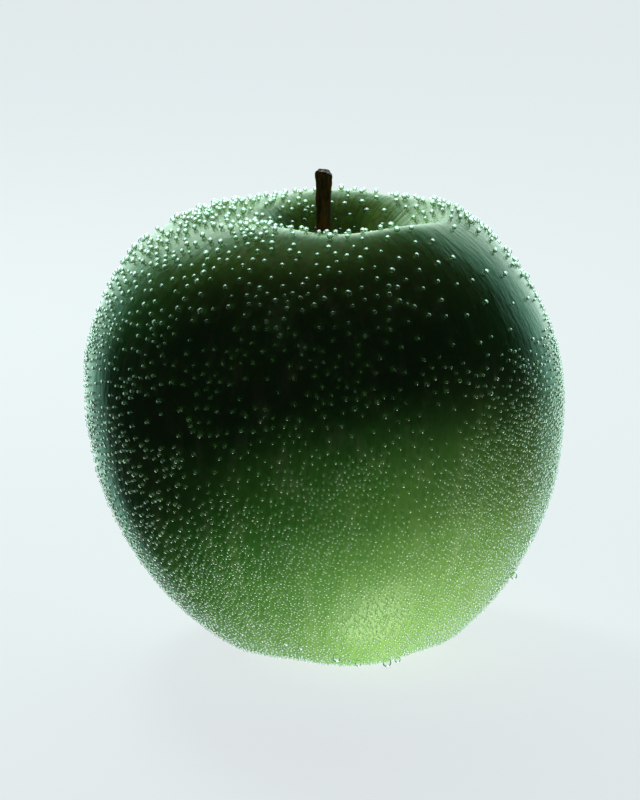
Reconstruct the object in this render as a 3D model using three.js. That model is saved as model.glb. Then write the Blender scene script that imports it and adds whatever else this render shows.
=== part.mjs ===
// A green dessert apple with its short woody stem, standing on the five lobes of its base.
//
// Millimetres, +Z up. The apple stands on z = 0, and the Z axis runs up through the middle of its
// outline. Its flower end is underneath: a small basin with five dried sepals round a tuft of
// withered stamens. Its stem end is on top: a deeper funnel that the stem grows out of.

import * as THREE from "three";

// ---------------------------------------------------------------------------------------------
// Driving dimensions
// ---------------------------------------------------------------------------------------------

// Half of the fruit's outline, from the floor of the stem funnel, over the shoulder, down the
// cheek and round the base into the flower basin. Each point is its distance from the fruit's
// core line, its height, and how far the core line leans to +X at that height.
const OUTLINE = [
  [0.0, 56.4, -0.4],
  [2.6, 56.6, -0.4],
  [5.3, 60.0, 0.1],
  [8.2, 65.4, 1.1],
  [11.8, 70.5, 2.3],
  [15.8, 73.3, 2.5],
  [20.8, 73.5, 1.0],
  [28.7, 68.9, -0.8],
  [34.3, 62.2, -1.0],
  [38.5, 53.2, -0.6],
  [40.0, 43.0, -0.1],
  [38.7, 30.6, 0.4],
  [36.0, 22.2, 0.7],
  [32.4, 15.4, 1.0],
  [28.2, 9.4, 1.4],
  [23.2, 4.2, 1.9],
  [18.6, 0.7, 2.5],
  [14.2, -0.4, 2.7],
  [10.6, 1.3, 2.5],
  [6.8, 5.2, 2.3],
  [3.6, 8.3, 2.2],
  [0.0, 9.2, 2.2],
];
const RINGS_PER_POINT = 2; // rings of vertices from one outline point to the next
const SIDES = 60; // vertices round the fruit, a multiple of the five lobes
const CURVE_TENSION = 0.5;

// The five lobes that a fruit with five seed chambers swells into at its flower end, and the same
// five, fainter and twisted round by half a lobe, at its shoulder.
const LOBES = 5;
const LOBE_TURN = THREE.MathUtils.degToRad(64); // where the first lobe points, from +X
const LOBE_SWELL = 0.015; // share of the radius that a lobe stands out
const LOBE_LIFT = 0.6; // how far the base rises between two lobes
const LOBE_TOP = 34; // height where the lobes have faded into the cheek
const CROWN_TURN = THREE.MathUtils.degToRad(18);
const CROWN_LIFT = 0.9; // how far the shoulder dips between two lobes
const CROWN_BOTTOM = 62; // height where the shoulder's lobes begin
const CROWN_TOP = 80.6; // height where they would be full, just above the fruit
const OVAL = 0.012; // share of the radius by which the fruit is out of round
const REST_PLANE = 0; // the lobes are pressed flat where the apple stands

const STEM_FOOT_GAP = 0.4; // between the stem's foot and the funnel's floor
const STEM_TOP = 80.6;
const STEM_SIDES = 16;
// The stem's radius at shares of its length: a flared foot, a slim waist and a swollen cut end.
const STEM_RADII = [
  [0.0, 1.75],
  [0.06, 1.6],
  [0.2, 1.38],
  [0.45, 1.27],
  [0.68, 1.22],
  [0.84, 1.27],
  [0.94, 1.38],
  [0.985, 1.33],
  [1.0, 1.05],
];
const STEM_BOW = 0.45; // how far the middle of the stem bows to +Y
const STEM_LEAN = 0.35; // how far the cut end leans to +X

const SEPALS = 5;
const SEPAL_LENGTH = 5.4;
const SEPAL_WIDTH = 2.5;
const SEPAL_THICKNESS = 0.42;
const SEPAL_TIP_WIDTH = 0.24;
const SEPAL_TIP_THINNING = 0.5; // share of its thickness that a sepal loses towards its tip
const SEPAL_FULLNESS = 0.8; // under 1, a sepal keeps its width for longer before it tapers
const SEPAL_ROOT_RADIUS = 2.7; // where a sepal grows from the basin, from the basin's middle
const SEPAL_ROOT_HEIGHT = 7.7;
const SEPAL_INWARD = THREE.MathUtils.degToRad(24); // how far each sepal closes over the basin
const SEPAL_CURL = THREE.MathUtils.degToRad(62); // how far its tip curls back outwards
const SEPAL_STEPS = 7;

const STAMEN_HEIGHT = 3.4;
const STAMEN_ROOT_RADIUS = 0.95;
const STAMEN_TIP_RADIUS = 0.6;
const STAMEN_ROOT_HEIGHT = 8.7;
const STAMEN_SIDES = 10;

const skinFinish = new THREE.MeshStandardMaterial({ color: 0x5f9638, roughness: 0.3, metalness: 0 });
const woodFinish = new THREE.MeshStandardMaterial({ color: 0x3b1d12, roughness: 0.75, metalness: 0 });
const driedFinish = new THREE.MeshStandardMaterial({ color: 0x4a3b22, roughness: 0.9, metalness: 0 });

// ---------------------------------------------------------------------------------------------
// A closed body lofted through rings of points, each ring closed, with a point in the middle of
// its first and its last ring. The rings run so that their faces point outwards.
// ---------------------------------------------------------------------------------------------
function loft(rings, firstMiddle, lastMiddle) {
  const sides = rings[0].length;
  const points = [firstMiddle, ...rings.flat(), lastMiddle];
  const last = points.length - 1;
  const at = (ring, side) => 1 + ring * sides + (side % sides);
  const faces = [];
  for (let side = 0; side < sides; side++) {
    faces.push(0, at(0, side), at(0, side + 1));
    for (let ring = 0; ring + 1 < rings.length; ring++) {
      const [a, b] = [at(ring, side), at(ring, side + 1)];
      const [c, d] = [at(ring + 1, side), at(ring + 1, side + 1)];
      faces.push(a, c, b, b, c, d);
    }
    faces.push(last, at(rings.length - 1, side + 1), at(rings.length - 1, side));
  }
  const geometry = new THREE.BufferGeometry().setFromPoints(points);
  geometry.setIndex(faces);
  geometry.computeVertexNormals();
  return geometry;
}

// ---------------------------------------------------------------------------------------------
// Fruit
// ---------------------------------------------------------------------------------------------

// The point of the skin that stands at a turn round the core line, for one point of the outline.
function skinPoint(radius, height, lean, turn) {
  const lobe = Math.cos(LOBES * (turn - LOBE_TURN));
  const crown = Math.cos(LOBES * (turn - CROWN_TURN));
  const low = 1 - THREE.MathUtils.smoothstep(height, 0, LOBE_TOP);
  const high = THREE.MathUtils.smoothstep(height, CROWN_BOTTOM, CROWN_TOP);
  const around = 1 + LOBE_SWELL * low * lobe + OVAL * Math.sin(2 * turn);
  const lift = (LOBE_LIFT * low * low * (1 - lobe)) / 2 - (CROWN_LIFT * high * (1 - crown)) / 2;
  const x = lean + radius * around * Math.cos(turn);
  const y = radius * around * Math.sin(turn);
  return new THREE.Vector3(x, y, Math.max(height + lift, REST_PLANE));
}

function fruitGeometry() {
  const curve = new THREE.CatmullRomCurve3(
    OUTLINE.map(([radius, height, lean]) => new THREE.Vector3(radius, height, lean)),
    false,
    "catmullrom",
    CURVE_TENSION,
  );
  const stations = curve.getPoints((OUTLINE.length - 1) * RINGS_PER_POINT);
  const rings = stations.slice(1, -1).map(({ x: radius, y: height, z: lean }) =>
    Array.from({ length: SIDES }, (_, side) =>
      skinPoint(radius, height, lean, (2 * Math.PI * side) / SIDES),
    ),
  );
  const middle = ({ y: height, z: lean }) => new THREE.Vector3(lean, 0, height);
  return loft(rings, middle(stations[0]), middle(stations.at(-1)));
}

// ---------------------------------------------------------------------------------------------
// Stem
// ---------------------------------------------------------------------------------------------

function stemGeometry() {
  const [, floorHeight, floorLean] = OUTLINE[0];
  const foot = floorHeight + STEM_FOOT_GAP;
  const spine = new THREE.QuadraticBezierCurve3(
    new THREE.Vector3(floorLean, 0, foot),
    new THREE.Vector3(floorLean, 2 * STEM_BOW, (foot + STEM_TOP) / 2),
    new THREE.Vector3(floorLean + STEM_LEAN, 0, STEM_TOP),
  );
  const rings = STEM_RADII.map(([share, radius]) => {
    const { x, y, z } = spine.getPoint(share);
    return Array.from({ length: STEM_SIDES }, (_, side) => {
      const turn = (-2 * Math.PI * side) / STEM_SIDES;
      return new THREE.Vector3(x + radius * Math.cos(turn), y + radius * Math.sin(turn), z);
    });
  });
  return loft(rings, spine.getPoint(0), spine.getPoint(1));
}

// ---------------------------------------------------------------------------------------------
// Flower end: five dried sepals and the stamens that they close over
// ---------------------------------------------------------------------------------------------

// One sepal, rooted at its origin. It grows down -Z, closes towards -X and curls back to +X.
function sepalGeometry() {
  const step = SEPAL_LENGTH / SEPAL_STEPS;
  let [x, z] = [0, 0];
  const rings = [];
  for (let i = 0; i <= SEPAL_STEPS; i++) {
    const share = i / SEPAL_STEPS;
    const slant = -SEPAL_INWARD + SEPAL_CURL * share * share;
    const half = ((1 - share ** 2) ** SEPAL_FULLNESS * SEPAL_WIDTH + SEPAL_TIP_WIDTH) / 2;
    const thick = (SEPAL_THICKNESS / 2) * (1 - SEPAL_TIP_THINNING * share);
    const [outX, outZ] = [Math.cos(slant) * thick, Math.sin(slant) * thick];
    rings.push([
      new THREE.Vector3(x, -half, z),
      new THREE.Vector3(x + outX, 0, z + outZ),
      new THREE.Vector3(x, half, z),
      new THREE.Vector3(x - outX, 0, z - outZ),
    ]);
    x += Math.sin(slant) * step;
    z -= Math.cos(slant) * step;
  }
  const middle = (ring) => ring[0].clone().add(ring[2]).multiplyScalar(0.5);
  return loft(rings, middle(rings[0]), middle(rings.at(-1)));
}

function stamenGeometry() {
  const ring = (radius, height) =>
    Array.from({ length: STAMEN_SIDES }, (_, side) => {
      const turn = (2 * Math.PI * side) / STAMEN_SIDES;
      return new THREE.Vector3(radius * Math.cos(turn), radius * Math.sin(turn), height);
    });
  const tip = STAMEN_ROOT_HEIGHT - STAMEN_HEIGHT;
  return loft(
    [ring(STAMEN_ROOT_RADIUS, STAMEN_ROOT_HEIGHT), ring(STAMEN_TIP_RADIUS, tip)],
    new THREE.Vector3(0, 0, STAMEN_ROOT_HEIGHT),
    new THREE.Vector3(0, 0, tip),
  );
}

function flowerEnd() {
  const [, , basinLean] = OUTLINE.at(-1);
  const basin = new THREE.Group();
  basin.position.x = basinLean;
  for (let i = 0; i < SEPALS; i++) {
    const sepal = new THREE.Mesh(sepalGeometry(), driedFinish);
    sepal.name = `sepal_${i + 1}`;
    sepal.position.set(SEPAL_ROOT_RADIUS, 0, SEPAL_ROOT_HEIGHT);
    const place = new THREE.Group();
    place.rotation.z = LOBE_TURN + ((i + 0.5) * 2 * Math.PI) / SEPALS;
    place.add(sepal);
    basin.add(place);
  }
  const stamens = new THREE.Mesh(stamenGeometry(), driedFinish);
  stamens.name = "stamens";
  basin.add(stamens);
  return basin;
}

// ---------------------------------------------------------------------------------------------
// The apple, moved so that the origin is under the middle of its outline
// ---------------------------------------------------------------------------------------------

const apple = new THREE.Group();

const fruit = new THREE.Mesh(fruitGeometry(), skinFinish);
fruit.name = "fruit";
apple.add(fruit);

const stem = new THREE.Mesh(stemGeometry(), woodFinish);
stem.name = "stem";
apple.add(stem);

apple.add(flowerEnd());

fruit.geometry.computeBoundingBox();
const middle = fruit.geometry.boundingBox.getCenter(new THREE.Vector3());
apple.position.set(-middle.x, -middle.y, 0);

export default apple;
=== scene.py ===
import math

import bmesh
import bpy
import numpy as np
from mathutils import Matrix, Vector


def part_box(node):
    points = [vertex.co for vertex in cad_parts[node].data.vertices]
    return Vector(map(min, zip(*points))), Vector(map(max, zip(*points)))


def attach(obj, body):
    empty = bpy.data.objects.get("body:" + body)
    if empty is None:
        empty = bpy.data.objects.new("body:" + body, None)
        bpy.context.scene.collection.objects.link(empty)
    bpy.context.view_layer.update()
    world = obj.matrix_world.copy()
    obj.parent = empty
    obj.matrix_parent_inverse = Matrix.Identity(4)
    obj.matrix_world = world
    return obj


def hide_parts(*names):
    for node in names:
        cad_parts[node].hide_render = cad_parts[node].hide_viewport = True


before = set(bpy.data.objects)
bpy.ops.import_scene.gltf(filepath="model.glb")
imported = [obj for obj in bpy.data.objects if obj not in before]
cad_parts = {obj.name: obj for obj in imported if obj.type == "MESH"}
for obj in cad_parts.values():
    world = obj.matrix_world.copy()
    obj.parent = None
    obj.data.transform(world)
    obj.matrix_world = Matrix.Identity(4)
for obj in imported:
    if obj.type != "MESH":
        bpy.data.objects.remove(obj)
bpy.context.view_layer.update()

scene = bpy.context.scene

# ---------------------------------------------------------------------------------------------
# Camera
# It stands in front of the apple and a little above it, with a long lens, and is aimed just over
# the middle of the fruit so that the stem has air above it.
# ---------------------------------------------------------------------------------------------

CAMERA_DISTANCE = 0.6
CAMERA_ELEVATION = math.radians(13.6)
CAMERA_LENS = 160.0
CAMERA_AIM = Vector((-0.0008, 0.001, 0.0411))

camera_data = bpy.data.cameras.new("camera")
camera_data.lens = CAMERA_LENS
camera_data.sensor_width = 36.0
camera_data.clip_start = 0.01
camera_data.clip_end = 20.0
camera = bpy.data.objects.new("camera", camera_data)
to_camera = Vector((0.0, -math.cos(CAMERA_ELEVATION), math.sin(CAMERA_ELEVATION)))
camera.location = CAMERA_AIM + CAMERA_DISTANCE * to_camera
camera.rotation_mode = "QUATERNION"
camera.rotation_quaternion = (-to_camera).to_track_quat("-Z", "Y")
scene.collection.objects.link(camera)
scene.camera = camera
scene.view_settings.view_transform = "Standard"

# ---------------------------------------------------------------------------------------------
# Floor and light
# The apple stands on a wide pale light table that glows evenly. Behind it stands a softly lit pale
# wall, with one soft light above it and one under the table. The front of the apple stays dark.
# ---------------------------------------------------------------------------------------------

PALE = (0.765, 0.808, 0.831)
TABLE_GLOW = 0.93
TABLE_SHADE = 0.3


def add_node(tree, kind, inputs=None, **settings):
    """Adds a node, sets its properties, and sets or links its inputs by name or number."""
    made = tree.nodes.new(kind)
    for name, value in settings.items():
        setattr(made, name, value)
    for key, value in (inputs or {}).items():
        if isinstance(value, bpy.types.NodeSocket):
            tree.links.new(value, made.inputs[key])
        else:
            made.inputs[key].default_value = value
    return made


def new_tree(name):
    """A new material with an empty node tree, and its output node."""
    material = bpy.data.materials.new(name)
    material.use_nodes = True
    material.node_tree.nodes.clear()
    output = material.node_tree.nodes.new("ShaderNodeOutputMaterial")
    return material, material.node_tree, output


def mesh_object(name, points, faces):
    """A smooth-shaded mesh object, with its place in its mesh, from points and faces."""
    mesh = bpy.data.meshes.new(name)
    mesh.from_pydata([tuple(p) for p in points], [], [tuple(f) for f in faces])
    mesh.update()
    mesh.polygons.foreach_set("use_smooth", [True] * len(mesh.polygons))
    made = bpy.data.objects.new(name, mesh)
    scene.collection.objects.link(made)
    return made


FLOOR_RADIUS = 4.0
FLOOR_SIDES = 96
turns = [2 * math.pi * i / FLOOR_SIDES for i in range(FLOOR_SIDES)]
floor_rim = [(FLOOR_RADIUS * math.cos(t), FLOOR_RADIUS * math.sin(t), 0.0) for t in turns]
floor = mesh_object("floor", floor_rim, [range(FLOOR_SIDES)])
floor_finish, tree, output = new_tree("pale_light_table")
shader = add_node(
    tree,
    "ShaderNodeBsdfPrincipled",
    {
        "Base Color": (*(TABLE_SHADE * c for c in PALE), 1.0),
        "Roughness": 0.9,
        "Specular IOR Level": 0.0,
        "Emission Color": (*PALE, 1.0),
        "Emission Strength": TABLE_GLOW,
    },
)
tree.links.new(shader.outputs[0], output.inputs["Surface"])
floor.data.materials.append(floor_finish)
floor.visible_diffuse = False
floor.visible_glossy = False
floor.visible_shadow = False

world = bpy.data.worlds.new("studio")
world.use_nodes = True
scene.world = world
tree = world.node_tree
tree.nodes.clear()
where = add_node(tree, "ShaderNodeTexCoord")


def glow(direction, start, end, colour, strength):
    """A soft patch of light in the studio round the apple, full within end of a direction."""
    along = Vector(direction).normalized()
    facing = add_node(
        tree,
        "ShaderNodeVectorMath",
        {0: where.outputs["Generated"], 1: tuple(along)},
        operation="DOT_PRODUCT",
    )
    share = add_node(
        tree,
        "ShaderNodeMapRange",
        {"Value": facing.outputs["Value"], "From Min": start, "From Max": end},
        interpolation_type="SMOOTHSTEP",
    )
    return add_node(
        tree,
        "ShaderNodeVectorMath",
        {0: tuple(strength * c for c in colour), "Scale": share.outputs["Result"]},
        operation="SCALE",
    )


AMBIENT = (0.018, 0.014, 0.022)
# The wall, its brighter middle, the light over it, one high up, and one under the table.
glows = [
    glow((0.03, 1.0, 0.05), 0.49, 0.83, (0.4, 1.0, 0.74), 1.2),
    glow((0.0, 1.0, 0.1), 0.74, 0.95, (1.0, 0.75, 0.8), 0.7),
    glow((-0.12, 0.9, 0.42), 0.86, 1.0, (0.75, 1.0, 0.8), 0.9),
    glow((-0.1, 0.5, 0.86), 0.95, 1.0, (0.8, 1.0, 0.7), 0.3),
    glow((0.25, 0.05, -1.0), 0.945, 0.985, (0.9, 1.0, 0.72), 4.5),
]
total = glows[0].outputs[0]
for more in glows[1:]:
    total = add_node(
        tree, "ShaderNodeVectorMath", {0: total, 1: more.outputs[0]}, operation="ADD"
    ).outputs[0]
total = add_node(
    tree, "ShaderNodeVectorMath", {0: total, 1: AMBIENT}, operation="ADD"
).outputs[0]
light_path = add_node(tree, "ShaderNodeLightPath")
lit = add_node(tree, "ShaderNodeBackground", {"Color": total, "Strength": 1.0})
seen = add_node(tree, "ShaderNodeBackground", {"Color": (*PALE, 1.0), "Strength": 1.0})
mixed = add_node(
    tree,
    "ShaderNodeMixShader",
    {0: light_path.outputs["Is Camera Ray"], 1: lit.outputs[0], 2: seen.outputs[0]},
)
add_node(tree, "ShaderNodeOutputWorld", {"Surface": mixed.outputs[0]})


def soft_lamp(name, location, size, energy, colour):
    """A round lamp that lights the apple but doesn't show or mirror in it."""
    lamp_data = bpy.data.lights.new(name, "POINT")
    lamp_data.shadow_soft_size = size
    lamp_data.energy = energy
    lamp_data.color = colour
    lamp = bpy.data.objects.new(name, lamp_data)
    lamp.location = location
    lamp.visible_camera = False
    lamp.visible_glossy = False
    lamp.visible_transmission = False
    scene.collection.objects.link(lamp)


soft_lamp("under_lamp", (0.03, -0.051, -0.045), 0.015, 0.2, (0.88, 1.0, 0.8))
soft_lamp("top_lamp", (-0.12, 0.24, 0.3), 0.05, 1.75, (0.84, 1.0, 0.92))

# ---------------------------------------------------------------------------------------------
# Fruit
# The flesh and its waxy green skin, grown as one piece. Round its flower end it swells into five
# lobes, which it stands on, and its shoulder dips into the funnel that the stem grows out of.
# ---------------------------------------------------------------------------------------------

MM = 0.001
# Distance from the core line, height, and lean of the core line to +X, in millimetres.
OUTLINE = [
    (0.0, 56.4, -0.4),
    (2.6, 56.6, -0.4),
    (5.3, 60.0, 0.1),
    (8.2, 65.4, 1.1),
    (11.8, 70.5, 2.3),
    (15.8, 73.3, 2.5),
    (20.8, 73.5, 1.0),
    (28.7, 68.9, -0.8),
    (34.3, 62.2, -1.0),
    (38.5, 53.2, -0.6),
    (40.0, 43.0, -0.1),
    (38.7, 30.6, 0.4),
    (36.0, 22.2, 0.7),
    (32.4, 15.4, 1.0),
    (28.2, 9.4, 1.4),
    (23.2, 4.2, 1.9),
    (18.6, 0.7, 2.5),
    (14.2, -0.4, 2.7),
    (10.6, 1.3, 2.5),
    (6.8, 5.2, 2.3),
    (3.6, 8.3, 2.2),
    (0.0, 9.2, 2.2),
]
RINGS_PER_POINT = 12
SIDES = 320
LOBES = 5
LOBE_TURN = math.radians(64)
LOBE_SWELL = 0.015
LOBE_LIFT = 0.6
LOBE_TOP = 34.0
CROWN_TURN = math.radians(18)
CROWN_LIFT = 0.9
CROWN_BOTTOM = 62.0
CROWN_TOP = 80.6
OVAL = 0.012


def smoothstep(x, low, high):
    """0 up to low, 1 from high on, and eased between them."""
    t = np.clip((x - low) / (high - low), 0.0, 1.0)
    return t * t * (3.0 - 2.0 * t)


def smooth_curve(points, steps):
    """Points along a smooth curve through the given ones, a number of steps to each stretch."""
    p = np.array(points, float)
    p = np.vstack([2 * p[0] - p[1], p, 2 * p[-1] - p[-2]])
    t = np.linspace(0.0, 1.0, steps, endpoint=False)[:, None]
    parts = []
    for before, a, b, after in zip(p[:-3], p[1:-2], p[2:-1], p[3:]):
        leave, arrive = (b - before) / 2, (after - a) / 2
        parts.append(
            (2 * a - 2 * b + leave + arrive) * t**3
            + (-3 * a + 3 * b - 2 * leave - arrive) * t**2
            + leave * t
            + a
        )
    return np.vstack([*parts, p[-2:-1]])


def skin_points(radius, height, lean, turn):
    """The points of the skin at some turns round the core line, in metres, core line at X = lean."""
    lobe = np.cos(LOBES * (turn - LOBE_TURN))
    crown = np.cos(LOBES * (turn - CROWN_TURN))
    low = 1.0 - smoothstep(height, 0.0, LOBE_TOP)
    high = smoothstep(height, CROWN_BOTTOM, CROWN_TOP)
    around = 1.0 + LOBE_SWELL * low * lobe + OVAL * np.sin(2 * turn)
    lift = LOBE_LIFT * low**2 * (1 - lobe) / 2 - CROWN_LIFT * high * (1 - crown) / 2
    x = lean + radius * around * np.cos(turn)
    y = radius * around * np.sin(turn)
    return np.stack([x, y, np.maximum(height + lift, 0.0)], -1) * MM


stations = smooth_curve(OUTLINE, RINGS_PER_POINT)
ring_turns = 2 * np.pi * np.arange(SIDES) / SIDES
inner = stations[1:-1]
grid = skin_points(inner[:, 0:1], inner[:, 1:2], inner[:, 2:3], ring_turns[None, :])
floor_of_funnel = np.array([[stations[0][2] * MM, 0.0, stations[0][1] * MM]])
floor_of_basin = np.array([[stations[-1][2] * MM, 0.0, stations[-1][1] * MM]])
skin = np.vstack([floor_of_funnel, grid.reshape(-1, 3), floor_of_basin])

low_corner, high_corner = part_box("fruit")
middle = (skin.min(0) + skin.max(0)) / 2
shift = np.array(
    [
        (low_corner.x + high_corner.x) / 2 - middle[0],
        (low_corner.y + high_corner.y) / 2 - middle[1],
        0.0,
    ]
)
skin += shift


def loft_faces(rings, sides):
    """Faces over rings of points, with a point before the first ring and one after the last."""
    at = lambda ring, side: 1 + ring * sides + side % sides
    last = 1 + rings * sides
    faces = [(0, at(0, s), at(0, s + 1)) for s in range(sides)]
    for r in range(rings - 1):
        faces += [
            (at(r, s), at(r + 1, s), at(r + 1, s + 1), at(r, s + 1)) for s in range(sides)
        ]
    return faces + [(last, at(rings - 1, s + 1), at(rings - 1, s)) for s in range(sides)]


fruit = mesh_object("apple_skin", skin, loft_faces(len(inner), SIDES))

skin_finish, tree, output = new_tree("waxy_skin")
place = add_node(tree, "ShaderNodeTexCoord").outputs["Object"]
parts = add_node(tree, "ShaderNodeSeparateXYZ", {0: place})


def math_node(operation, a, b=None):
    inputs = {0: a} if b is None else {0: a, 1: b}
    return add_node(tree, "ShaderNodeMath", inputs, operation=operation).outputs[0]


def ramp(value, low, high, to_low=0.0, to_high=1.0):
    """A value eased from one range to another."""
    return add_node(
        tree,
        "ShaderNodeMapRange",
        {"Value": value, "From Min": low, "From Max": high, "To Min": to_low, "To Max": to_high},
        interpolation_type="SMOOTHSTEP",
    ).outputs["Result"]


def blend_colours(share, a, b):
    """Two colours mixed by a share; either may be a plain colour or another node's."""
    colour = lambda c: c if isinstance(c, bpy.types.NodeSocket) else (*c, 1.0)
    mixer = add_node(tree, "ShaderNodeMix", data_type="RGBA")
    for socket, value in (
        (mixer.inputs[0], share),
        (mixer.inputs[6], colour(a)),
        (mixer.inputs[7], colour(b)),
    ):
        if isinstance(value, bpy.types.NodeSocket):
            tree.links.new(value, socket)
        else:
            socket.default_value = value
    return mixer.outputs[2]


def noise_node(vector, scale, detail=3.0, roughness=0.55):
    return add_node(
        tree,
        "ShaderNodeTexNoise",
        {"Vector": vector, "Scale": scale, "Detail": detail, "Roughness": roughness},
    ).outputs[0]


CORE_LEAN = 0.0003
STREAK_TURN = 9.0
off_x = math_node("SUBTRACT", parts.outputs[0], shift[0] + CORE_LEAN)
off_y = math_node("SUBTRACT", parts.outputs[1], shift[1])
height = parts.outputs[2]
out = math_node(
    "SQRT", math_node("ADD", math_node("MULTIPLY", off_x, off_x), math_node("MULTIPLY", off_y, off_y))
)
out_safe = math_node("MAXIMUM", out, 0.0005)
# Streaks follow the meridians: fine round the fruit, long from stem to flower.
meridian = add_node(
    tree,
    "ShaderNodeCombineXYZ",
    {
        0: math_node("DIVIDE", off_x, out_safe),
        1: math_node("DIVIDE", off_y, out_safe),
        2: math_node("MULTIPLY", math_node("SUBTRACT", height, out), STREAK_TURN),
    },
).outputs[0]
streaks = ramp(noise_node(meridian, 15.0, 4.0, 0.62), 0.5, 0.68)
broad_streaks = ramp(noise_node(meridian, 5.0, 3.0), 0.35, 0.7)
mottle = ramp(noise_node(place, 90.0, 4.0), 0.3, 0.75)
flecks_and_bead_shade = ramp(noise_node(meridian, 60.0, 3.0), 0.42, 0.62)
grain = noise_node(place, 900.0, 3.0)

near_stem = ramp(height, 0.058, 0.073)
in_funnel = math_node("MULTIPLY", ramp(out, 0.022, 0.014), ramp(height, 0.04, 0.055))
# Lighter yellow-green towards the lower front right, where the lamp under the table lights the skin:
# partly a riper tone, partly painted light.
ripe_and_lit_side = ramp(
    math_node(
        "ADD",
        math_node("MULTIPLY", parts.outputs[0], 0.8),
        math_node("SUBTRACT", math_node("MULTIPLY", parts.outputs[1], -0.3), height),
    ),
    -0.035,
    0.025,
)

GREEN = (0.11, 0.35, 0.05)
DEEP_GREEN = (0.065, 0.26, 0.042)
YELLOW_GREEN = (0.32, 0.5, 0.15)
OLIVE = (0.21, 0.38, 0.055)
FUNNEL_PAINTED_LIGHT = (0.38, 0.66, 0.14)
RUSSET = (0.26, 0.17, 0.07)
PALE_STREAK = (0.5, 0.66, 0.3)
LENTICEL = (0.5, 0.58, 0.33)

colour = blend_colours(mottle, DEEP_GREEN, GREEN)
colour = blend_colours(ripe_and_lit_side, colour, YELLOW_GREEN)
# Dark green flecks along the meridians: partly the skin's own flecks, partly painted shade of the
# beads.
colour = blend_colours(math_node("MULTIPLY", flecks_and_bead_shade, 0.3), colour, DEEP_GREEN)
colour = blend_colours(math_node("MULTIPLY", near_stem, 0.7), colour, OLIVE)
# The lighter green in the funnel is painted light: it stands in for light that fills the funnel,
# which the lamps don't bring there.
colour = blend_colours(math_node("MULTIPLY", in_funnel, 0.85), colour, FUNNEL_PAINTED_LIGHT)
streak_share = math_node(
    "MULTIPLY", streaks, math_node("ADD", math_node("MULTIPLY", in_funnel, 0.55), 0.2)
)
colour = blend_colours(streak_share, colour, PALE_STREAK)
dark_share = math_node("ADD", math_node("MULTIPLY", in_funnel, 0.45), 0.12)
colour = blend_colours(math_node("MULTIPLY", broad_streaks, dark_share), colour, DEEP_GREEN)
by_stem = math_node("MULTIPLY", ramp(out, 0.0085, 0.0025), ramp(height, 0.045, 0.05))
colour = blend_colours(math_node("MULTIPLY", by_stem, ramp(mottle, 0.0, 0.8)), colour, RUSSET)
by_flower = math_node("MULTIPLY", ramp(out, 0.0075, 0.003), ramp(height, 0.02, 0.012))
colour = blend_colours(math_node("MULTIPLY", by_flower, ramp(mottle, 0.0, 1.0)), colour, RUSSET)
speckle = ramp(noise_node(place, 1100.0, 3.0), 0.47, 0.6, 0.0, 0.45)
colour = blend_colours(math_node("MULTIPLY", near_stem, speckle), colour, RUSSET)

lenticels = add_node(
    tree,
    "ShaderNodeTexVoronoi",
    {"Vector": place, "Scale": 230.0, "Randomness": 1.0},
    feature="F1",
).outputs["Distance"]
dots = ramp(lenticels, 0.1, 0.05)
colour = blend_colours(math_node("MULTIPLY", dots, 0.4), colour, LENTICEL)

ribs = add_node(
    tree,
    "ShaderNodeBump",
    {
        "Strength": ramp(in_funnel, 0.0, 1.0, 0.3, 0.5),
        "Distance": 0.0004,
        "Height": noise_node(meridian, 20.0, 4.0),
    },
)
peel = add_node(
    tree,
    "ShaderNodeBump",
    {"Strength": 0.12, "Distance": 0.0002, "Height": grain, "Normal": ribs.outputs[0]},
)
wax = ramp(noise_node(place, 60.0, 3.0), 0.3, 0.7, 0.14, 0.22)
shader = add_node(
    tree,
    "ShaderNodeBsdfPrincipled",
    {
        "Base Color": colour,
        "Roughness": wax,
        "IOR": 1.42,
        "Normal": peel.outputs[0],
    },
)
tree.links.new(shader.outputs[0], output.inputs["Surface"])
fruit.data.materials.append(skin_finish)
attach(fruit, "root")
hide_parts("fruit")

# ---------------------------------------------------------------------------------------------
# Beads
# Clear round beads that cling to the waxy skin: small and crowded low down, larger and scattered on
# the shoulder, with a few big drops. They bend light as bubbles in water do, bright with a dark rim.
# ---------------------------------------------------------------------------------------------

RNG = np.random.default_rng(7)

quads = np.array([f for f in loft_faces(len(inner), SIDES) if len(f) == 4])
corner_a, corner_b, corner_c, corner_d = (skin[quads[:, k]] for k in range(4))
face_normal = np.cross(corner_c - corner_a, corner_d - corner_b)
face_area = np.linalg.norm(face_normal, axis=1) / 2
face_normal /= 2 * face_area[:, None] + 1e-12
chance = np.cumsum(face_area)
chance /= chance[-1]

WAVES = 14


def wander(points, size, seed):
    """Smooth random values, mostly from -1 to 1, that change over about a given distance."""
    waves = np.random.default_rng(seed)
    total = np.zeros(len(points))
    for _ in range(WAVES):
        along = waves.normal(size=3)
        along *= 2 * math.pi / (size * waves.uniform(0.7, 1.6) * np.linalg.norm(along))
        total += np.cos(points @ along + waves.uniform(0.0, 2 * math.pi))
    return total / math.sqrt(WAVES / 2)


def lerp(a, b, share):
    return a + (b - a) * share


TRIES = 170000
picks = np.searchsorted(chance, RNG.random(TRIES))
u, v = RNG.random((2, TRIES, 1))
spots = lerp(
    lerp(corner_a[picks], corner_b[picks], u), lerp(corner_d[picks], corner_c[picks], u), v
)
normals = face_normal[picks]
across, depth, up = spots.T / MM

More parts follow.
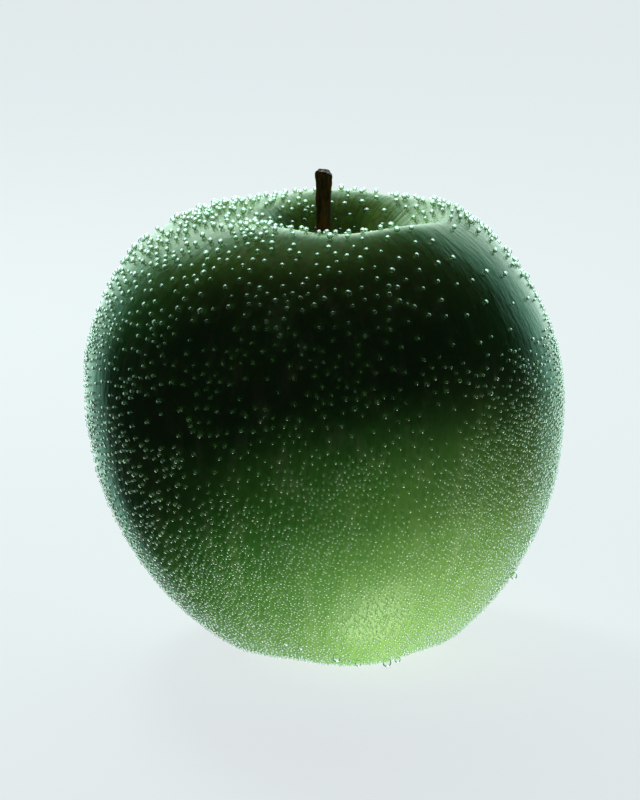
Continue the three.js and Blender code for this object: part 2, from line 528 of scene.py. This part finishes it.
# The crowd's upper edge climbs to the right. Above it the beads thin out, and gather loosely.
# Heights, gaps and radii are in millimetres.
EDGE_HEIGHT = 24.5
EDGE_CLIMB = 0.4
EDGE_WANDER = 3.5
THINNING = 23.0
crowd_edge = EDGE_HEIGHT + EDGE_CLIMB * across + EDGE_WANDER * wander(spots, 0.022, 11)
above_crowd = np.clip((up - crowd_edge) / THINNING, 0.0, 1.0) ** 1.4
clumps = wander(spots, 0.009, 12) + 0.7 * wander(spots, 0.004, 13)
crown = smoothstep(up, 56.0, 64.0)
side = np.degrees(np.arctan2(depth, across))


def towards(turn, width):
    """A share that is 1 at a turn round the stem, in degrees, and dies away on both sides."""
    return np.exp(-((((side - turn + 180.0) % 360.0 - 180.0) / width) ** 2))


CROWD_GAP = 0.52
CROWD_RADIUS = 0.19
SCATTER_RADIUS = 0.25
CROWN_GROWTH = 0.16
CROWN_SHARE = 0.2
SINK = 0.92
CLEAR_OF_FLOOR = 0.1
# About how many scattered beads sit on a square millimetre, at each side and on the crown.
front, right, left, back = (towards(turn, 38.0) for turn in (-90.0, 0.0, 180.0, 90.0))
bare = towards(-26.0, 34.0) * smoothstep(up, 50.0, 58.0)
per_square = 0.24 * front + 0.55 * right + 0.6 * left + 0.5 * back
per_square = lerp(per_square, CROWN_SHARE, crown) * np.exp(0.45 * clumps) * (1.0 - bare)
gap = lerp(CROWD_GAP, np.sqrt(1.1 / np.maximum(per_square, 0.02)), above_crowd)
radius = lerp(CROWD_RADIUS, SCATTER_RADIUS, above_crowd) + CROWN_GROWTH * crown
radius = radius * np.exp(0.14 * RNG.normal(size=TRIES))
gap = np.maximum(gap * RNG.uniform(0.7, 1.4, TRIES), 2.1 * radius) * MM
radius = radius * MM
centres = spots + normals * (SINK * radius)[:, None]
wanted = centres[:, 2] - radius > CLEAR_OF_FLOOR * MM

# The big drops: turn round the stem in degrees, height and radius in millimetres.
BIG_DROPS = [
    (-61, 1.8, 0.8),
    (-85, 3.6, 0.72),
    (-75, 2.0, 0.58),
    (-53, 1.3, 0.56),
    (-14, 13.3, 0.66),
    (-20, 20.4, 0.5),
    (-105, 6.2, 0.5),
    (-99, 5.6, 0.46),
    (35, 9.0, 0.62),
    (120, 3.2, 0.7),
    (160, 12.0, 0.55),
]
beads = []
facing_out = normals[:, 0] * across + normals[:, 1] * depth > 0
for drop_turn, drop_height, drop_radius in BIG_DROPS:
    off = 0.5 * np.abs((side - drop_turn + 180.0) % 360.0 - 180.0) + np.abs(up - drop_height)
    i = int(np.argmin(np.where(facing_out, off, np.inf)))
    radius[i] = drop_radius * MM
    centres[i] = spots[i] + normals[i] * SINK * radius[i]
    wanted &= np.linalg.norm(spots - spots[i], axis=1) > radius[i] + radius
    beads.append(i)

# A bead stays where no bead taken before it is nearer than its gap. Cells keep the search short.
CELL = 0.0015
taken = {}
for i in np.flatnonzero(wanted):
    x, y, z = (int(c) for c in spots[i] // CELL)
    reach = range(-int(gap[i] / CELL) - 1, int(gap[i] / CELL) + 2)
    near = [
        j
        for dx in reach
        for dy in reach
        for dz in reach
        for j in taken.get((x + dx, y + dy, z + dz), ())
    ]
    if near and np.min(np.sum((spots[near] - spots[i]) ** 2, axis=1)) < gap[i] ** 2:
        continue
    taken.setdefault((x, y, z), []).append(i)
    beads.append(i)

ball = bmesh.new()
bmesh.ops.create_icosphere(ball, subdivisions=2, radius=1.0)
BALL_POINTS = np.array([v.co for v in ball.verts])
BALL_FACES = np.array([[v.index for v in f.verts] for f in ball.faces])
ball.free()

LIGHT_LET_THROUGH = 0.85
BUBBLE_INDEX = 0.75
water, tree, output = new_tree("clear_water")
shader = add_node(
    tree,
    "ShaderNodeBsdfPrincipled",
    {
        "Base Color": (0.92, 1.0, 0.96, 1.0),
        "Roughness": 0.0,
        "IOR": BUBBLE_INDEX,
        "Transmission Weight": 0.99,
    },
)
open_glass = add_node(tree, "ShaderNodeBsdfTransparent")
light_path = add_node(tree, "ShaderNodeLightPath")
let_through = add_node(
    tree,
    "ShaderNodeMath",
    {0: light_path.outputs["Is Shadow Ray"], 1: LIGHT_LET_THROUGH},
    operation="MULTIPLY",
)
mixed = add_node(
    tree,
    "ShaderNodeMixShader",
    {0: let_through.outputs[0], 1: shader.outputs[0], 2: open_glass.outputs[0]},
)
tree.links.new(mixed.outputs[0], output.inputs["Surface"])

BEADS_PER_PIECE = 2400
for k in range(0, len(beads), BEADS_PER_PIECE):
    some = beads[k : k + BEADS_PER_PIECE]
    points = BALL_POINTS[None] * radius[some][:, None, None] + centres[some][:, None]
    faces = BALL_FACES[None] + (np.arange(len(some)) * len(BALL_POINTS))[:, None, None]
    name = f"beads_{k // BEADS_PER_PIECE + 1}"
    piece = mesh_object(name, points.reshape(-1, 3), faces.reshape(-1, 3).tolist())
    piece.data.materials.append(water)
    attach(piece, "root")

# ---------------------------------------------------------------------------------------------
# Stem
# The short woody stalk that the apple hung by. It grows out of the floor of the funnel, bows a
# little, and swells at its end, where it broke from the twig and shows its paler wood.
# ---------------------------------------------------------------------------------------------

# Share of the stem's length, and radius there in millimetres.
STEM_PROFILE = [
    (0.0, 1.72),
    (0.06, 1.6),
    (0.2, 1.38),
    (0.45, 1.26),
    (0.68, 1.2),
    (0.84, 1.26),
    (0.92, 1.38),
    (0.965, 1.47),
    (0.985, 1.43),
    (0.996, 1.25),
    (1.0, 0.9),
    (0.998, 0.4),
]
STEM_STEPS = 12
STEM_SIDES = 72
STEM_BOW = 0.45
STEM_LEAN = 0.15
BROKEN_EDGE = 0.55

stem_low, stem_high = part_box("stem")
foot = np.array([floor_of_funnel[0, 0] + shift[0], shift[1], stem_low.z])
end = np.array([foot[0] + STEM_LEAN * MM, shift[1], stem_high.z])
bend = np.array([foot[0], shift[1] + 2 * STEM_BOW * MM, (foot[2] + end[2]) / 2])


def on_spine(share):
    """Points on the stem's bowed middle line, at shares of its length."""
    share = np.asarray(share)[..., None]
    return (1 - share) ** 2 * foot + 2 * share * (1 - share) * bend + share**2 * end


stem_stations = smooth_curve(STEM_PROFILE, STEM_STEPS)
share, thick = stem_stations[:, 0:1], stem_stations[:, 1:2]
turn = -2 * np.pi * np.arange(STEM_SIDES)[None, :] / STEM_SIDES
ridges = 0.05 * np.cos(5 * turn + 1.6 * share) + 0.03 * np.cos(9 * turn - 3.0 * share + 1.0)
knots = 0.1 * np.exp(-(((share - 0.78) / 0.03) ** 2)) * np.maximum(np.cos(turn - 2.6), 0.0)
reach = thick * (1 + (ridges + knots) * smoothstep(thick, 0.5, 1.2)) * MM
ring = np.stack([reach * np.cos(turn), reach * np.sin(turn), 0 * reach], -1)
bark_points = (on_spine(share) + ring).reshape(-1, 3)
rough = 0.035 * wander(bark_points, 0.0028, 31) + 0.02 * wander(bark_points, 0.0009, 32)
ring = ring.reshape(-1, 3)
outward = ring / np.maximum(np.linalg.norm(ring, axis=1), 1e-6)[:, None]
bark_points += outward * (rough * MM)[:, None]
at_end = smoothstep((share + 0 * turn).reshape(-1), 0.95, 0.99)
chip = np.maximum(np.cos(turn + 0.3), 0.0) ** 4 * smoothstep(thick, 0.3, 1.3)
torn = BROKEN_EDGE * chip.reshape(-1) + 0.07 * wander(bark_points, 0.0012, 33) + 0.05
bark_points[:, 2] -= at_end * torn * MM
bark_points = np.vstack([on_spine(0.0), bark_points, on_spine(0.993)])
stem = mesh_object("apple_stem", bark_points, loft_faces(len(stem_stations), STEM_SIDES))

bark, tree, output = new_tree("red_brown_bark")
place = add_node(tree, "ShaderNodeTexCoord").outputs["Object"]
along = add_node(
    tree, "ShaderNodeMapping", {"Vector": place, "Scale": (1.0, 1.0, 0.16)}
).outputs[0]
fibres = noise_node(along, 1900.0, 5.0, 0.65)
patches = noise_node(place, 420.0, 3.0)
height = add_node(tree, "ShaderNodeSeparateXYZ", {0: place}).outputs[2]
BARK_DARK = (0.03, 0.009, 0.006)
BARK_RED = (0.26, 0.045, 0.026)
BARK_GREY = (0.12, 0.085, 0.06)
CUT_WOOD = (0.26, 0.12, 0.06)
CORK = (0.2, 0.12, 0.07)
colour = blend_colours(ramp(fibres, 0.35, 0.7), BARK_DARK, BARK_RED)
colour = blend_colours(ramp(patches, 0.55, 0.75, 0.0, 0.35), colour, BARK_GREY)
specks = add_node(
    tree, "ShaderNodeTexVoronoi", {"Vector": along, "Scale": 1500.0}, feature="F1"
).outputs["Distance"]
colour = blend_colours(ramp(specks, 0.16, 0.08, 0.0, 0.5), colour, CORK)
cut_share = ramp(height, stem_high.z - 0.0011, stem_high.z - 0.0002, 0.0, 0.75)
colour = blend_colours(cut_share, colour, CUT_WOOD)
furrows = add_node(
    tree, "ShaderNodeBump", {"Strength": 0.6, "Distance": 0.00015, "Height": fibres}
)
shader = add_node(
    tree,
    "ShaderNodeBsdfPrincipled",
    {
        "Base Color": colour,
        "Roughness": ramp(patches, 0.3, 0.7, 0.5, 0.8),
        "IOR": 1.45,
        "Normal": furrows.outputs[0],
    },
)
tree.links.new(shader.outputs[0], output.inputs["Surface"])
stem.data.materials.append(bark)
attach(stem, "root")
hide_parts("stem")

# ---------------------------------------------------------------------------------------------
# Sepals
# The five pointed leaves of the old flower, dried brown and felted. They stand in a ring in the
# basin under the fruit, close over it and curl back at their tips.
# ---------------------------------------------------------------------------------------------

SEPALS = 5
SEPAL_LENGTH = 5.4
SEPAL_WIDTH = 2.5
SEPAL_TIP_WIDTH = 0.24
SEPAL_THICKNESS = 0.36
SEPAL_ROOT_RADIUS = 2.7
SEPAL_ROOT_HEIGHT = 7.7
SEPAL_INWARD = math.radians(24)
SEPAL_CURL = math.radians(62)
SEPAL_STEPS = 36
SEPAL_SIDES = 28
SEPAL_CUP = 0.35
SEPAL_CRINKLE = 0.12

dried, tree, output = new_tree("dried_felt")
place = add_node(tree, "ShaderNodeTexCoord").outputs["Object"]
felt = noise_node(place, 2600.0, 4.0, 0.7)
stains = noise_node(place, 500.0, 3.0)
DRY_BROWN = (0.085, 0.05, 0.025)
DRY_GREY = (0.2, 0.17, 0.11)
SCORCHED = (0.028, 0.016, 0.01)
colour = blend_colours(ramp(felt, 0.35, 0.7), DRY_BROWN, DRY_GREY)
colour = blend_colours(ramp(stains, 0.5, 0.72, 0.0, 0.8), colour, SCORCHED)
nap = add_node(tree, "ShaderNodeBump", {"Strength": 0.7, "Distance": 0.0001, "Height": felt})
shader = add_node(
    tree,
    "ShaderNodeBsdfPrincipled",
    {
        "Base Color": colour,
        "Roughness": ramp(stains, 0.3, 0.7, 0.8, 0.95),
        "Sheen Weight": 0.35,
        "Sheen Roughness": 0.6,
        "Normal": nap.outputs[0],
    },
)
tree.links.new(shader.outputs[0], output.inputs["Surface"])

basin_middle = np.array([floor_of_basin[0, 0] + shift[0], shift[1], 0.0])
angle = 2 * np.pi * np.arange(SEPAL_SIDES) / SEPAL_SIDES - np.pi / 2
for k in range(SEPALS):
    quirks = np.random.default_rng(40 + k)
    curl = SEPAL_CURL * quirks.uniform(0.75, 1.1)
    twist = quirks.uniform(-0.35, 0.35)
    step = SEPAL_LENGTH / SEPAL_STEPS
    x, z = 0.0, 0.0
    rings = []
    for i in range(SEPAL_STEPS + 1):
        share = i / SEPAL_STEPS
        slant = -SEPAL_INWARD + curl * share**2
        half = ((1 - share**2) ** 0.8 * SEPAL_WIDTH + SEPAL_TIP_WIDTH) / 2
        half *= 1 + 0.05 * math.cos(21 * share + k)
        across = half * np.sin(angle)
        edge = (across / half) ** 2
        midrib = 1 + 0.5 * np.exp(-((across / 0.22) ** 2))
        proud = SEPAL_THICKNESS / 2 * (1 - 0.6 * share) * np.cos(angle) * midrib
        proud += SEPAL_CUP * half * edge + SEPAL_CRINKLE * edge * np.sin(17 * share + 2.4 * k)
        proud += twist * share**2 * across
        rings.append(
            np.stack([x + proud * math.cos(slant), across, z + proud * math.sin(slant)], -1)
        )
        x += math.sin(slant) * step
        z -= math.cos(slant) * step
    blade = np.vstack([rings[0].mean(0), *rings, rings[-1].mean(0)]) * MM
    blade += np.array([SEPAL_ROOT_RADIUS, 0.0, SEPAL_ROOT_HEIGHT]) * MM
    way = LOBE_TURN + (k + 0.5) * 2 * math.pi / SEPALS
    out_way = np.array([math.cos(way), math.sin(way), 0.0])
    side_way = np.array([-math.sin(way), math.cos(way), 0.0])
    spin = np.array([out_way, side_way, [0.0, 0.0, 1.0]])
    blade = blade @ spin + basin_middle
    sepal = mesh_object(f"dried_sepal_{k + 1}", blade, loft_faces(len(rings), SEPAL_SIDES))
    sepal.data.materials.append(dried)
    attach(sepal, "root")
    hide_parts(f"sepal_{k + 1}")

# ---------------------------------------------------------------------------------------------
# Stamens
# The withered tuft in the middle of the basin: thin threads with shrunken tips that stand round
# the stump of the pistil. They grew in the flower and dried where they stood.
# ---------------------------------------------------------------------------------------------

THREADS = 20
THREAD_RADIUS = 0.12
THREAD_BLOB = 0.11
STUMP_LENGTH = 1.7
STUMP_RADIUS = 0.42
THREAD_SIDES = 8
THREAD_STEPS = 14
tuft_low, tuft_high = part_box("stamens")
tuft_points, tuft_faces = [], []


def add_thread(root, tip, bow, thick, blob):
    """A thin tapered thread from root to tip that bows aside and ends in a shrunken blob."""
    share = np.linspace(0.0, 1.0, THREAD_STEPS)[:, None]
    spine = lerp(root, tip, share) + bow * np.sin(np.pi * share)
    radius = thick * (1 - 0.45 * share) + blob * np.exp(-(((share - 0.93) / 0.06) ** 2))
    around = 2 * np.pi * np.arange(THREAD_SIDES)[None, :] / THREAD_SIDES
    ring = np.stack([radius * np.cos(around), radius * np.sin(around), 0 * radius * around], -1)
    points = (spine[:, None] + ring).reshape(-1, 3)
    first = len(tuft_points)
    tuft_points.extend([root, *points, tip])
    tuft_faces.extend(
        tuple(first + n for n in face) for face in loft_faces(THREAD_STEPS, THREAD_SIDES)
    )


threads = np.random.default_rng(51)
for k in range(THREADS):
    way = 2 * math.pi * (k + threads.uniform(-0.3, 0.3)) / THREADS
    out = np.array([math.cos(way), math.sin(way), 0.0])
    length = threads.uniform(0.6, 1.0) * (tuft_high.z - tuft_low.z)
    root = basin_middle + out * threads.uniform(0.5, 0.8) * MM
    root[2] = tuft_high.z
    tip = root + out * threads.uniform(-0.25, 0.35) * MM - np.array([0.0, 0.0, length])
    bow = (out * threads.uniform(-0.1, 0.3) + threads.normal(0, 0.12, 3) * (1, 1, 0)) * MM
    add_thread(root, tip, bow, THREAD_RADIUS * MM, THREAD_BLOB * MM)
stump = np.array([basin_middle[0], basin_middle[1], tuft_high.z])
stump_tip = stump - np.array([0.0, 0.0, STUMP_LENGTH * MM])
add_thread(stump, stump_tip, np.zeros(3), STUMP_RADIUS * MM, 0.1 * MM)
tuft = mesh_object("withered_stamens", tuft_points, tuft_faces)
tuft.data.materials.append(dried)
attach(tuft, "root")
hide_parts("stamens")
